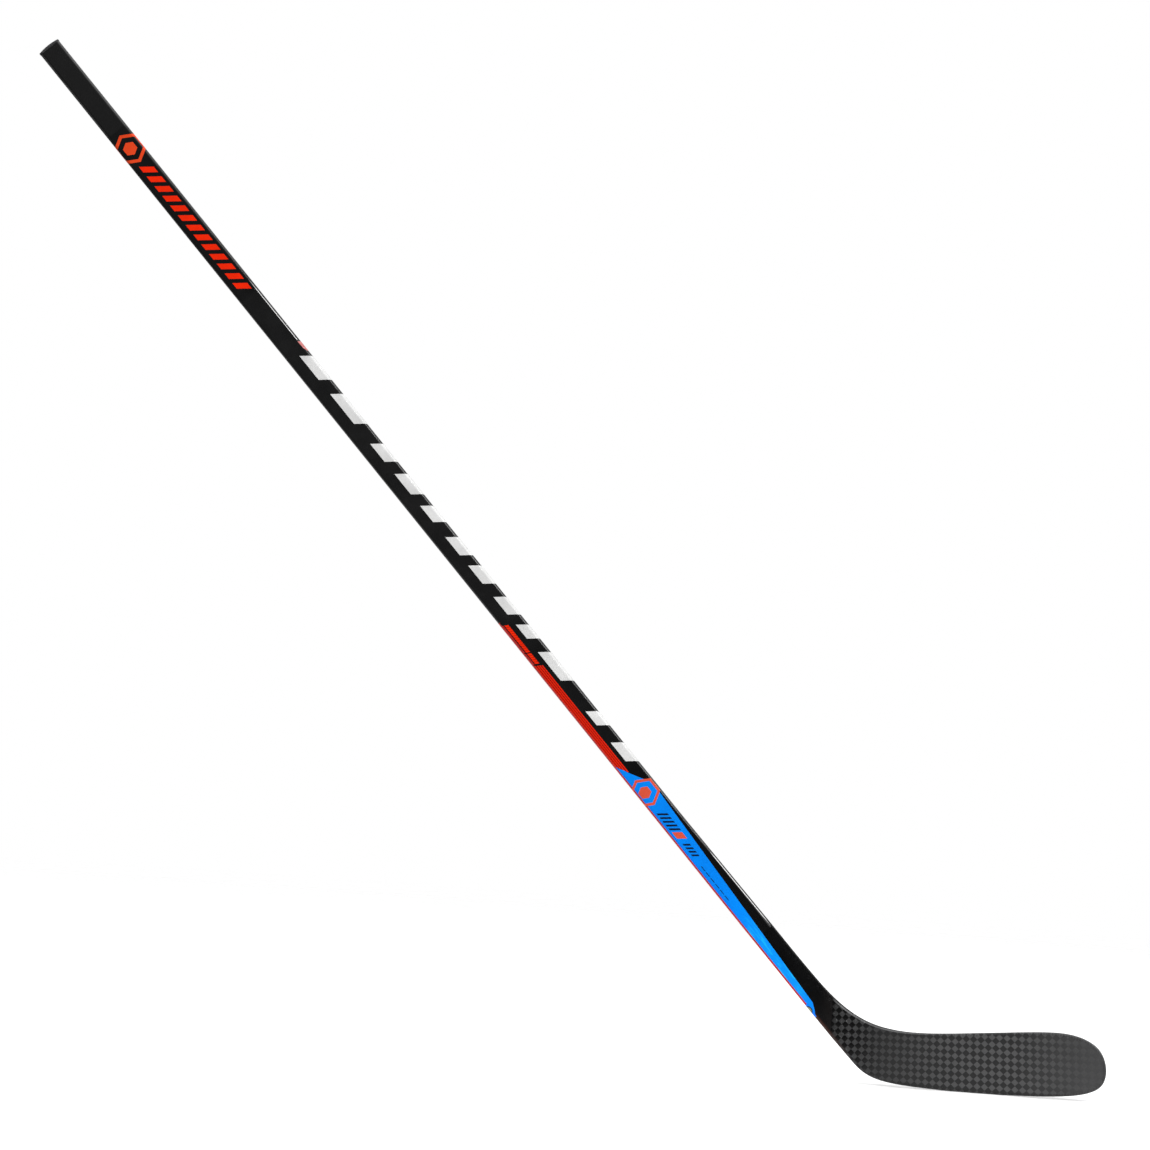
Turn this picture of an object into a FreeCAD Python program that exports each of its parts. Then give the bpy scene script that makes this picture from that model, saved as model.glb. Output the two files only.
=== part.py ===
import FreeCAD, Part
import math, os

# Ice hockey stick, left-handed, one-piece composite.
# Millimetres. The stick is in its playing position: the blade's sole is on
# z = 0, +X runs along the sole from heel to toe, and the shaft leans back and
# up towards -X. The forehand face looks towards -Y. The origin is the point
# where the middle of the sole meets the ice.

os.makedirs("parts", exist_ok=True)
V = FreeCAD.Vector

# ---------------------------------------------------------------- dimensions
STICK_LENGTH = 1524.0      # butt end to heel, along the back edge (60 in)
LIE_DEG = 47.0             # shaft above the ice (133 degrees inside: lie 6)
HEEL_X = -121.6            # where the back edge's line meets the ice

SHAFT_W = 26.7             # across the broad face
SHAFT_T = 19.0             # across the narrow face
SHAFT_R = 3.6              # corner radius
SHAFT_WALL = 2.0
TAPER_START = 1150.0       # from the butt end, where the kick taper begins
SEAM = 1310.0              # from the butt end, where shaft meets blade
SEAM_FRONT = 15.0          # front edge from the shaft's centre line, at SEAM
SEAM_T = 16.0              # thickness at SEAM
SEAM_R = 2.2               # corner radius at SEAM
SEAM_R_IN = 0.6            # corner radius of the hollow at SEAM

CAP_T = 2.4                # flange of the butt cap
CAP_PROUD = 0.35           # flange beyond the shaft, all round
CAP_CROWN = 1.5            # how far the end face is domed
CAP_PLUG = 38.0            # plug below the flange
CAP_FIT = 0.10             # plug to tube, each side
CAP_WALL = 2.2
CAP_SEAT = 0.05            # flange to tube end

TENON_TOP = 1245.0         # upper end of the tenon, from the butt end
TENON_END = 1372.0         # lower end of the tenon
BOND = 0.2                 # adhesive film
TENON_WALL = 1.8
DAM_TOP, DAM_END = 1205.0, 1235.0   # foam plug above the tenon

HOSEL_END_X = -171.4       # plane between the hosel and the blade
HOSEL_WALL = 1.8
EDGE_R = 2.2               # rounding of the blade's and hosel's edges
BAND_W = 3.4               # width of the blade's edge band
SKIN = 0.9                 # blade face laminate
HEEL_BLOCK_X = -104.0      # toe side of the heel block
RIB_T = 1.6                # web between the two blade cores

TOE_CURVE = 15.0           # depth of the blade's curve at the toe
CURVE_FROM = -112.0        # where the curve starts
TOE_X = 147.7
LOFT_DEG = 6.0             # how far the face opens at the toe

# thickness of the hosel and blade by distance from the butt end: (s, half)
HALF = [(1240.0, 8.66), (1275.0, 8.33), (1310.0, 8.0), (1340.0, 7.55),
        (1370.0, 6.75), (1400.0, 5.75), (1430.0, 4.80), (1460.0, 4.05),
        (1490.0, 3.55), (1530.0, 3.20), (1580.0, 3.02), (1640.0, 2.88),
        (1720.0, 2.75)]

# outline in the XZ plane
# front edge of the hosel, throat, top edge and toe, down to the flat sole
TOP = [(-162.4, 92.1), (-150.3, 83.7), (-138.2, 77.0), (-126.3, 72.0),
       (-114.6, 68.6), (-102.9, 66.4), (-91.2, 65.0), (-74.0, 64.3),
       (-45.2, 65.4), (-10.8, 68.3), (23.6, 71.5), (58.0, 74.7),
       (78.0, 76.0), (92.5, 76.2), (105.0, 75.1), (116.5, 72.6),
       (127.0, 68.4), (135.5, 62.8), (142.0, 55.0), (146.0, 45.8),
       (147.7, 36.0), (146.9, 26.8), (143.4, 19.2), (137.5, 13.9),
       (130.0, 10.2), (119.0, 6.9), (105.0, 4.5), (88.0, 2.75),
       (68.0, 1.45), (44.0, 0.5)]
THROAT = [(1342.0, 15.15), (1368.0, 15.48), (1388.0, 15.95), (1402.0, 16.55),
          (1414.0, 17.6)]          # (s, n) in the shaft's own frame
# heel corner, from the flat sole up to the straight back edge
HEEL = [(-44.0, 0.5), (-66.0, 1.45), (-84.0, 2.7), (-98.0, 4.2),
        (-110.0, 6.4), (-121.0, 9.8), (-130.0, 14.3), (-138.0, 20.2),
        (-146.0, 27.9)]
FLAT = 20.0                # half length of the sole's flat

# ------------------------------------------------------------------- frames
A = math.radians(LIE_DEG)
U = V(-math.cos(A), 0, math.sin(A))      # up the shaft, towards the butt
N = V(math.sin(A), 0, math.cos(A))       # across the broad face, to the front
H = V(HEEL_X, 0, 0)


def blade_y(x, z):
    """How far the curve and the open face move the blade from the shaft's plane."""
    t = max(0.0, (x - CURVE_FROM) / (TOE_X - CURVE_FROM))
    return -TOE_CURVE * t ** 2.2 + math.tan(math.radians(LOFT_DEG)) * t ** 1.6 * (z - 36.0)


SHAFT_Y = -blade_y(0.0, 0.0)             # the shaft's plane, from the sole's middle


def at(s, n, y=0.0):
    """Point s from the butt end, n from the shaft's centre line, y across."""
    return H + U * (STICK_LENGTH - s) + N * (n + SHAFT_W / 2) + V(0, SHAFT_Y + y, 0)


def s_of(x, z):
    return STICK_LENGTH - (V(x, 0, z) - H).dot(U)


def front_n(s):
    if s <= TAPER_START:
        return SHAFT_W / 2
    k = (s - TAPER_START) / (SEAM - TAPER_START)
    return SHAFT_W / 2 + k * (SEAM_FRONT - SHAFT_W / 2)


def thick(s):
    k = max(0.0, (s - TAPER_START) / (SEAM - TAPER_START))
    return SHAFT_T + k * (SEAM_T - SHAFT_T)


def corner(s, inset):
    k = max(0.0, (s - TAPER_START) / (SEAM - TAPER_START))
    end = SEAM_R_IN - (inset - SHAFT_WALL) if inset else SEAM_R
    return SHAFT_R - inset + k * (end - SHAFT_R + inset)


def rect_wire(s, n0, n1, t, r):
    """Rounded rectangle square to the shaft: n0..n1 by thickness t."""
    h = t / 2
    q = r * (1 - math.sqrt(0.5))
    e = []

    def P(n, y):
        return at(s, n, y)
    e.append(Part.LineSegment(P(n0 + r, -h), P(n1 - r, -h)).toShape())
    e.append(Part.Arc(P(n1 - r, -h), P(n1 - q, -h + q), P(n1, -h + r)).toShape())
    e.append(Part.LineSegment(P(n1, -h + r), P(n1, h - r)).toShape())
    e.append(Part.Arc(P(n1, h - r), P(n1 - q, h - q), P(n1 - r, h)).toShape())
    e.append(Part.LineSegment(P(n1 - r, h), P(n0 + r, h)).toShape())
    e.append(Part.Arc(P(n0 + r, h), P(n0 + q, h - q), P(n0, h - r)).toShape())
    e.append(Part.LineSegment(P(n0, h - r), P(n0, -h + r)).toShape())
    e.append(Part.Arc(P(n0, -h + r), P(n0 + q, -h + q), P(n0 + r, -h)).toShape())
    return Part.Wire(e)


def shaft_section(s, inset):
    return rect_wire(s, -SHAFT_W / 2 + inset, front_n(s) - inset,
                     thick(s) - 2 * inset, corner(s, inset))


def shaft_solid(s0, s1, inset):
    stops = [s0] + ([TAPER_START] if s0 < TAPER_START < s1 else []) + [s1]
    return Part.makeLoft([shaft_section(s, inset) for s in stops], True, True)


# --------------------------------------------------- blade and hosel surfaces
def spline1d(pts):
    """Natural cubic through (x, y) points."""
    n = len(pts)
    x = [p[0] for p in pts]
    y = [p[1] for p in pts]
    h = [x[i + 1] - x[i] for i in range(n - 1)]
    al = [0.0] * n
    for i in range(1, n - 1):
        al[i] = 3 * (y[i + 1] - y[i]) / h[i] - 3 * (y[i] - y[i - 1]) / h[i - 1]
    l, mu, z = [1.0] * n, [0.0] * n, [0.0] * n
    for i in range(1, n - 1):
        l[i] = 2 * (x[i + 1] - x[i - 1]) - h[i - 1] * mu[i - 1]
        mu[i] = h[i] / l[i]
        z[i] = (al[i] - h[i - 1] * z[i - 1]) / l[i]
    b, c, d = [0.0] * n, [0.0] * n, [0.0] * n
    for j in range(n - 2, -1, -1):
        c[j] = z[j] - mu[j] * c[j + 1]
        b[j] = (y[j + 1] - y[j]) / h[j] - h[j] * (c[j + 1] + 2 * c[j]) / 3
        d[j] = (c[j + 1] - c[j]) / (3 * h[j])

    def f(v):
        v = min(max(v, x[0]), x[-1])
        i = n - 2
        while i > 0 and v < x[i]:
            i -= 1
        t = v - x[i]
        return y[i] + b[i] * t + c[i] * t * t + d[i] * t ** 3
    return f


half_of_s = spline1d(HALF)


def mid_y(x, z):
    """The mid surface of hosel and blade."""
    return SHAFT_Y + blade_y(x, z)


X0, X1, Z0, Z1 = -300.0, 165.0, -16.0, 205.0
NX, NZ = 40, 20


def surface(side, inset):
    """A face y = mid + side * (half - inset), over the whole blade and hosel."""
    rows = []
    for i in range(NX):
        x = X0 + (X1 - X0) * i / (NX - 1)
        row = []
        for j in range(NZ):
            z = Z0 + (Z1 - Z0) * j / (NZ - 1)
            row.append(V(x, mid_y(x, z) + side * (half_of_s(s_of(x, z)) - inset), z))
        rows.append(row)
    bs = Part.BSplineSurface()
    bs.interpolate(rows)
    return bs.toShape()


def behind(side, inset):
    """Everything on the +Y side of that face."""
    return surface(side, inset).extrude(V(0, 90, 0))


def flat(s, n):
    """The same point, in the plane y = 0."""
    p = at(s, n)
    return V(p.x, 0, p.z)


def outline(inset):
    """The closed outline of hosel and blade in the XZ plane, moved inwards."""
    top_s = SEAM - 60.0
    front = [flat(top_s, front_n(top_s)), flat(SEAM - 25, front_n(SEAM - 25)),
             flat(SEAM, SEAM_FRONT)]
    front += [flat(s, n) for s, n in THROAT]
    pts = [V(FLAT, 0, 0)] + [V(x, 0, z) for x, z in reversed(TOP)] + list(reversed(front))
    c1 = Part.BSplineCurve()
    f_dir = flat(top_s, front_n(top_s)) - flat(SEAM, SEAM_FRONT)
    c1.interpolate(Points=pts, InitialTangent=V(1, 0, 0), FinalTangent=f_dir.normalize())
    back = [V(-FLAT, 0, 0)] + [V(x, 0, z) for x, z in HEEL]
    straight = [1455.0, 1425.0]
    back += [flat(s, -SHAFT_W / 2 + d) for s, d in zip(straight, (0.30, 0.04))]
    back += [flat(1395.0, -SHAFT_W / 2)]
    c2 = Part.BSplineCurve()
    c2.interpolate(Points=back, InitialTangent=V(-1, 0, 0), FinalTangent=V(U))
    if inset:
        c1 = moved(c1, inset, 1, len(pts) * 2)
        c2 = moved(c2, inset, -1, len(back) * 2)
    a0, a1 = c1.value(c1.FirstParameter), c1.value(c1.LastParameter)
    b0, b1 = c2.value(c2.FirstParameter), c2.value(c2.LastParameter)
    top_back = flat(top_s, -SHAFT_W / 2 + inset)
    edges = [Part.LineSegment(b0, a0).toShape(), c1.toShape(),
             Part.LineSegment(a1, top_back).toShape(),
             Part.LineSegment(top_back, b1).toShape(), c2.toShape()]
    return Part.Wire(Part.__sortEdges__(edges))


def moved(curve, inset, turn, count):
    """The curve moved inwards by inset, as a new curve."""
    f, l = curve.FirstParameter, curve.LastParameter
    pts, ends = [], []
    for i in range(count + 1):
        u = f + (l - f) * i / count
        p = curve.value(u)
        t = curve.tangent(u)[0].normalize()
        nrm = V(-t.z, 0, t.x) * turn
        pts.append(p + nrm * inset)
        ends.append(t)
    c = Part.BSplineCurve()
    c.interpolate(Points=pts, InitialTangent=ends[0], FinalTangent=ends[-1])
    return c


def prism(inset):
    w = outline(inset)
    w.translate(V(0, -60, 0))
    return Part.Face(w).extrude(V(0, 120, 0))


def box(x0, x1, y0, y1, z0, z1):
    return Part.makeBox(x1 - x0, y1 - y0, z1 - z0, V(x0, y0, z0))


def below_s(s):
    """Everything further down the shaft than s."""
    w = rect_wire(s, -400, 400, 400, 50)
    return Part.Face(w).extrude(U * -900)


def one(shape, name):
    sol = shape.Solids
    if len(sol) != 1:
        raise ValueError("%s has %d solids" % (name, len(sol)))
    s = sol[0]
    if not s.isValid():
        raise ValueError("%s is not valid" % name)
    return s


parts = {}

# ------------------------------------------------------------------ the shaft
tube_top = CAP_T + CAP_SEAT
outer = shaft_solid(tube_top, SEAM, 0.0)
cavity = shaft_solid(tube_top, SEAM, SHAFT_WALL)
parts["shaft_tube"] = one(outer.cut(cavity), "shaft_tube")

# foam plug that closes the hollow above the tenon
parts["shaft_foam_plug"] = one(shaft_solid(DAM_TOP, DAM_END, SHAFT_WALL), "shaft_foam_plug")

# --------------------------------------------------------------- the butt cap
w = SHAFT_W / 2 + CAP_PROUD
flange = Part.makeLoft([rect_wire(-4, -w, w, SHAFT_T + 2 * CAP_PROUD, SHAFT_R + CAP_PROUD),
                        rect_wire(CAP_T, -w, w, SHAFT_T + 2 * CAP_PROUD, SHAFT_R + CAP_PROUD)],
                       True, True)
crown_r = (w ** 2 + CAP_CROWN ** 2) / (2 * CAP_CROWN)
flange = flange.common(Part.makeSphere(crown_r, at(crown_r - CAP_CROWN, 0)))
rim = [e for e in flange.Edges
       if all((v.Point - at(1.2, 0)).dot(U) > 0 for v in e.Vertexes)]
flange = one(flange.makeFillet(0.9, rim), "flange")
i = SHAFT_WALL + CAP_FIT
plug_end = CAP_T + CAP_PLUG
pw, pt, pr = SHAFT_W / 2 - i, SHAFT_T - 2 * i, SHAFT_R - i
plug = Part.makeLoft([rect_wire(CAP_T - 0.5, -pw, pw, pt, pr), rect_wire(plug_end, -pw, pw, pt, pr)], True, True)
tip = [e for e in plug.Edges
       if all(abs((v.Point - at(plug_end, 0)).dot(U)) < 1e-6 for v in e.Vertexes)]
plug = plug.makeChamfer(0.8, tip)
cap = flange.fuse(plug)
# two moulded pockets, open at the plug's end, with a web between them
for n0, n1 in ((-pw + CAP_WALL, -0.9), (0.9, pw - CAP_WALL)):
    cap = cap.cut(Part.makeLoft([rect_wire(CAP_T + 1.2, n0, n1, pt - 2 * CAP_WALL, 0.8),
                                 rect_wire(plug_end + 5, n0, n1, pt - 2 * CAP_WALL, 0.8)], True, True))
parts["butt_cap"] = one(cap, "butt_cap")

# ------------------------------------------------------- hosel and blade body
S_FRONT, S_BACK = -1, 1
front_out = behind(S_FRONT, 0.0)
back_out = behind(S_BACK, 0.0)
body = prism(0.0).common(front_out).cut(back_out)
body = one(body, "body")
rim = []
for e in body.Edges:
    p0, p1 = e.ParameterRange
    ok = True
    onf = onb = True
    for k in (0.2, 0.5, 0.8):
        p = e.valueAt(p0 + (p1 - p0) * k)
        if s_of(p.x, p.z) < SEAM - 59.5:
            ok = False
        hy, my = half_of_s(s_of(p.x, p.z)), mid_y(p.x, p.z)
        onf &= abs(p.y - (my - hy)) < 0.4
        onb &= abs(p.y - (my + hy)) < 0.4
    if ok and (onf or onb):
        rim.append(e)
print("rim edges", len(rim))
body = one(body.makeFillet(EDGE_R, rim), "rounded body")
body = one(body.common(below_s(SEAM)), "body below the seam")

half_x = box(HOSEL_END_X, 400, -200, 200, -100, 400)
hosel = one(body.cut(half_x), "hosel")
blade = one(body.common(half_x), "blade")

# the blade: edge band, two face laminates, and what is between them
inner = prism(BAND_W)
parts["blade_edge_band"] = one(blade.cut(inner), "blade_edge_band")
inner_blade = inner.common(half_x)
front_in, back_in = behind(S_FRONT, SKIN), behind(S_BACK, SKIN)
parts["blade_face_forehand"] = one(inner_blade.common(front_out).cut(front_in), "blade_face_forehand")
parts["blade_face_backhand"] = one(inner_blade.common(back_in).cut(back_out), "blade_face_backhand")
core = one(inner_blade.common(front_in).cut(back_in), "core")

heel_side = box(-400, HEEL_BLOCK_X, -200, 200, -100, 400)
parts["heel_block"] = one(core.common(heel_side), "heel_block")
core = one(core.cut(heel_side), "toe core")
# the web follows the middle of the blade, from the heel block to the toe band
web_pts_lo, web_pts_hi = [], []
for x, z in ((-130.0, 31.5), (-60.0, 32.0), (0.0, 34.0), (60.0, 36.5), (120.0, 37.5), (170.0, 37.5)):
    web_pts_lo.append(V(x, -60, z - RIB_T / 2))
    web_pts_hi.append(V(x, -60, z + RIB_T / 2))
lo, hi = Part.BSplineCurve(), Part.BSplineCurve()
lo.interpolate(web_pts_lo)
hi.interpolate(web_pts_hi)
web = Part.Face(Part.Wire(Part.__sortEdges__([lo.toShape(), hi.toShape(),
                Part.LineSegment(web_pts_lo[0], web_pts_hi[0]).toShape(),
                Part.LineSegment(web_pts_lo[-1], web_pts_hi[-1]).toShape()]))).extrude(V(0, 120, 0))
parts["blade_rib"] = one(core.common(web), "blade_rib")
halves = sorted(core.cut(web).Solids, key=lambda q: q.CenterOfMass.z)
if len(halves) != 2:
    raise ValueError("the web leaves %d cores" % len(halves))
parts["blade_core_lower"] = one(halves[0], "blade_core_lower")
parts["blade_core_upper"] = one(halves[1], "blade_core_upper")

# the hosel: a wrapped shell around the tenon and a foam core
hosel_in = prism(HOSEL_WALL).common(behind(S_FRONT, HOSEL_WALL)).cut(behind(S_BACK, HOSEL_WALL))
hosel_in = one(hosel_in.common(below_s(SEAM)).cut(half_x), "hosel hollow")
parts["hosel_shell"] = one(hosel.cut(hosel_in), "hosel_shell")
deep = below_s(TENON_END)
parts["hosel_core"] = one(hosel_in.common(deep), "hosel_core")

# the tenon: glued into the shaft above the seam, inside the shell below it
upper = shaft_solid(TENON_TOP, SEAM, SHAFT_WALL + BOND)
lower = one(hosel_in.cut(deep), "tenon root")
tenon = one(upper.fuse(lower), "tenon")
ti = SHAFT_WALL + BOND + TENON_WALL
tc0, tc1 = TENON_TOP, TENON_END - 4.0
tenon_core = Part.makeLoft([rect_wire(tc0, -SHAFT_W / 2 + ti, 10.6, 8.0, 1.0),
                            rect_wire(tc1, -SHAFT_W / 2 + ti, 10.6, 6.4, 1.0)], True, True)
parts["tenon_core"] = one(tenon_core, "tenon_core")
parts["blade_tenon"] = one(tenon.cut(tenon_core), "blade_tenon")
glue = shaft_solid(TENON_TOP, SEAM, SHAFT_WALL).cut(shaft_solid(TENON_TOP, SEAM, SHAFT_WALL + BOND))
parts["tenon_bond"] = one(glue, "tenon_bond")

for name, shape in parts.items():
    shape.exportStep("parts/%s.step" % name)
    b = shape.BoundBox
    print("%-20s %9.2f cm3  x %8.1f %8.1f  y %6.1f %6.1f  z %7.1f %7.1f" %
          (name, shape.Volume / 1000, b.XMin, b.XMax, b.YMin, b.YMax, b.ZMin, b.ZMax))
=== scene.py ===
import bpy, bmesh, math
from mathutils import Vector, Matrix


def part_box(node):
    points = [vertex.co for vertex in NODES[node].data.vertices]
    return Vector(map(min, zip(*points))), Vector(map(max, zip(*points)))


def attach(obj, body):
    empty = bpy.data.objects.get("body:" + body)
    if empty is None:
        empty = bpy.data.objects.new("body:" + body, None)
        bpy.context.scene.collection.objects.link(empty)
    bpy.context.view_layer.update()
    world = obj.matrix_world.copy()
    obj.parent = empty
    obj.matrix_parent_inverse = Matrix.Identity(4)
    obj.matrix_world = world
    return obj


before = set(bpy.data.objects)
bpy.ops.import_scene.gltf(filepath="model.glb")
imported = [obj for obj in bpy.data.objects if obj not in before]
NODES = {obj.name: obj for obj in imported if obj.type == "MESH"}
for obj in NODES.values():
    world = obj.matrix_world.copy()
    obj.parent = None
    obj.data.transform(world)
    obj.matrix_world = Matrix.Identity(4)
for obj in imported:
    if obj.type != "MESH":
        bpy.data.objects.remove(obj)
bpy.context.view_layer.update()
MM = 0.001

# ------------------------------------------------------------------ the stick's own frame
LIE = math.radians(47.0)
U = Vector((-math.cos(LIE), 0.0, math.sin(LIE)))      # up the shaft, towards the butt
N = Vector((math.sin(LIE), 0.0, math.cos(LIE)))       # across the broad face, to the front edge
H = Vector((-121.6, 0.0, 0.0))
LENGTH = 1524.0
tube_lo, tube_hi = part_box("shaft_tube")
SHAFT_Y = (tube_lo.y + tube_hi.y) / 2 / MM            # the shaft's plane

SHAFT_W, SHAFT_T, SHAFT_R = 26.7, 19.0, 3.6
TAPER, SEAM = 1150.0, 1310.0
SEAM_FRONT, SEAM_T, SEAM_R = 15.0, 16.0, 2.2
FRONT = [(1310.0, 15.0), (1342.0, 15.15), (1368.0, 15.48), (1388.0, 15.95),
         (1402.0, 16.55), (1414.0, 17.6), (1430.0, 19.9), (1450.0, 24.6)]
HALF = [(1240.0, 8.66), (1275.0, 8.33), (1310.0, 8.0), (1340.0, 7.55),
        (1370.0, 6.75), (1400.0, 5.75), (1430.0, 4.80), (1460.0, 4.05),
        (1490.0, 3.55), (1530.0, 3.20), (1580.0, 3.02), (1640.0, 2.88),
        (1720.0, 2.75)]


def cubic(pts):
    """Natural cubic through (x, y) points."""
    n = len(pts)
    x = [p[0] for p in pts]
    y = [p[1] for p in pts]
    h = [x[i + 1] - x[i] for i in range(n - 1)]
    al = [0.0] * n
    for i in range(1, n - 1):
        al[i] = 3 * (y[i + 1] - y[i]) / h[i] - 3 * (y[i] - y[i - 1]) / h[i - 1]
    l, mu, z = [1.0] * n, [0.0] * n, [0.0] * n
    for i in range(1, n - 1):
        l[i] = 2 * (x[i + 1] - x[i - 1]) - h[i - 1] * mu[i - 1]
        mu[i] = h[i] / l[i]
        z[i] = (al[i] - h[i - 1] * z[i - 1]) / l[i]
    b, c, d = [0.0] * n, [0.0] * n, [0.0] * n
    for j in range(n - 2, -1, -1):
        c[j] = z[j] - mu[j] * c[j + 1]
        b[j] = (y[j + 1] - y[j]) / h[j] - h[j] * (c[j + 1] + 2 * c[j]) / 3
        d[j] = (c[j + 1] - c[j]) / (3 * h[j])

    def f(v):
        v = min(max(v, x[0]), x[-1])
        i = n - 2
        while i > 0 and v < x[i]:
            i -= 1
        t = v - x[i]
        return y[i] + b[i] * t + c[i] * t * t + d[i] * t ** 3
    return f


half_of = cubic(HALF)
front_of = cubic(FRONT)


def section(s):
    """Back edge, front edge, thickness and corner radius of the section at s, in mm."""
    if s <= TAPER:
        return -SHAFT_W / 2, SHAFT_W / 2, SHAFT_T, SHAFT_R
    if s <= SEAM:
        k = (s - TAPER) / (SEAM - TAPER)
        return (-SHAFT_W / 2, SHAFT_W / 2 + k * (SEAM_FRONT - SHAFT_W / 2),
                SHAFT_T + k * (SEAM_T - SHAFT_T), SHAFT_R + k * (SEAM_R - SHAFT_R))
    return -SHAFT_W / 2, front_of(s), 2 * half_of(s), SEAM_R


# A place on the shaft's skin is (s, v): s down from the butt end, and v round the section.
# v is 0 on the centre line of the broad face, +-1 where the corners start, +-2 where they
# end, +-3 at the far end of the narrow side, +-4 after the far corner, +-5 on the back's
# centre line. Positive v goes by the front edge, negative v by the back edge.
def skin(s, v, lift=0.0):
    nb, nf, t, r = section(s)
    sign = 1.0 if v >= 0 else -1.0
    a = abs(v)
    edge = nf if sign > 0 else -nb
    flat = edge - r
    if a <= 1:
        n, y, nn, ny = a * flat, -t / 2, 0.0, -1.0
    elif a <= 2:
        ph = (a - 1) * math.pi / 2
        n, y, nn, ny = flat + r * math.sin(ph), -t / 2 + r - r * math.cos(ph), math.sin(ph), -math.cos(ph)
    elif a <= 3:
        n, y, nn, ny = edge, -t / 2 + r + (a - 2) * (t - 2 * r), 1.0, 0.0
    elif a <= 4:
        ph = (a - 3) * math.pi / 2
        n, y, nn, ny = flat + r * math.cos(ph), t / 2 - r + r * math.sin(ph), math.cos(ph), math.sin(ph)
    else:
        n, y, nn, ny = (5 - a) * flat, t / 2, 0.0, 1.0
    n, nn = n * sign, nn * sign
    p = H + U * (LENGTH - s) + N * (n + nn * lift + SHAFT_W / 2) + Vector((0, SHAFT_Y + y + ny * lift, 0))
    return p * MM


def v_of(s, n):
    """The v of a point n from the centre line, seen from the front."""
    nb, nf, t, r = section(s)
    edge = nf if n >= 0 else -nb
    a, flat = abs(n), edge - r
    v = a / flat if a <= flat else 1 + math.asin(min(1.0, (a - flat) / r)) / (math.pi / 2)
    return v if n >= 0 else -v


# ------------------------------------------------------------------ printed films
def film(name, shapes, mat, slot, lift=0.07, sink=0.05, back=False, ds=12.0):
    """A thin closed film on the shaft's skin. shapes: lists of (s, v) loops, outer first.
    back=True turns it over to the other broad face."""
    bm = bmesh.new()
    for loops in shapes:
        edges = []
        for lp in loops:
            vs = [bm.verts.new((s, v * 10.0, 0)) for s, v in lp]
            edges += [bm.edges.new((vs[i], vs[(i + 1) % len(vs)])) for i in range(len(vs))]
        bmesh.ops.triangle_fill(bm, use_beauty=True, use_dissolve=False, edges=edges)
    vlines = []
    for k in range(1, 5, 2):
        vlines += [k + i / 7.0 for i in range(8)]
    lo = min(v.co.y for v in bm.verts) / 10
    hi = max(v.co.y for v in bm.verts) / 10
    for a in vlines + [2.5]:
        for c in (a, -a):
            if lo < c < hi:
                bmesh.ops.bisect_plane(bm, geom=bm.verts[:] + bm.edges[:] + bm.faces[:], dist=1e-4,
                                       plane_co=(0, c * 10, 0), plane_no=(0, 1, 0))
    s0 = min(v.co.x for v in bm.verts)
    s1 = max(v.co.x for v in bm.verts)
    cuts = [TAPER] if s0 < TAPER < s1 else []
    x = TAPER
    while x < s1:
        x += ds if x < SEAM else 4.0
        if s0 < x < s1:
            cuts.append(x)
    for c in cuts:
        bmesh.ops.bisect_plane(bm, geom=bm.verts[:] + bm.edges[:] + bm.faces[:], dist=1e-4,
                               plane_co=(c, 0, 0), plane_no=(1, 0, 0))
    bmesh.ops.recalc_face_normals(bm, faces=bm.faces[:])
    bm.verts.ensure_lookup_table()
    top, low = [], []
    for v in bm.verts:
        s, a = v.co.x, v.co.y / 10
        p, q = skin(s, a, lift), skin(s, a, -sink)
        if back:
            for w in (p, q):
                w.y = 2 * SHAFT_Y * MM - w.y
        top.append(p)
        low.append(q)
    n = len(top)
    faces = []
    for f in bm.faces:
        ids = [v.index for v in f.verts]
        a, b, c = (top[i] for i in ids[:3])
        mid = sum((top[i] for i in ids), Vector()) / len(ids)
        out = sum((top[i] - low[i] for i in ids), Vector())
        nrm = (b - a).cross(c - a)
        if nrm.dot(out) < 0:
            ids.reverse()
        faces.append(ids)
        faces.append([i + n for i in reversed(ids)])
    dirs = {}
    for ids in faces[::2]:
        for i in range(len(ids)):
            dirs[(ids[i], ids[(i + 1) % len(ids)])] = True
    for (i, j) in list(dirs):
        if (j, i) not in dirs:
            faces.append([j, i, i + n, j + n])
    bm.free()
    me = bpy.data.meshes.new(name)
    me.from_pydata([tuple(p) for p in top + low], [], faces)
    me.validate()
    me.update()
    me.shade_smooth()
    me.set_sharp_from_angle(angle=math.radians(40))
    ob = bpy.data.objects.new(name, me)
    bpy.context.scene.collection.objects.link(ob)
    me.materials.append(mat)
    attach(ob, "stick")
    return ob


def loop_n(pts):
    """(s, n) points, n measured across the broad face, as an (s, v) loop with short steps."""
    out = []
    m = len(pts)
    for i in range(m):
        (s0, n0), (s1, n1) = pts[i], pts[(i + 1) % m]
        k = max(1, int(max(abs(s1 - s0) / 25.0, abs(n1 - n0) / 3.0)))
        for j in range(k):
            s, n = s0 + (s1 - s0) * j / k, n0 + (n1 - n0) * j / k
            out.append((s, v_of(s, n)))
    return out


def disc(s, n, r, seg=72):
    """A round loop laid on the skin: arc length round the corners, not the front view."""
    out = []
    for i in range(seg):
        a = 2 * math.pi * i / seg
        ss, w = s + r * math.cos(a), n + r * math.sin(a)
        nb, nf, t, rr = section(ss)
        edge = nf if w >= 0 else -nb
        flat, aw = edge - rr, abs(w)
        if aw <= flat:
            v = aw / flat
        elif aw <= flat + rr * math.pi / 2:
            v = 1 + (aw - flat) / (rr * math.pi / 2)
        else:
            v = 2 + (aw - flat - rr * math.pi / 2) / (t - 2 * rr)
        out.append((ss, v if w >= 0 else -v))
    return out


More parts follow.
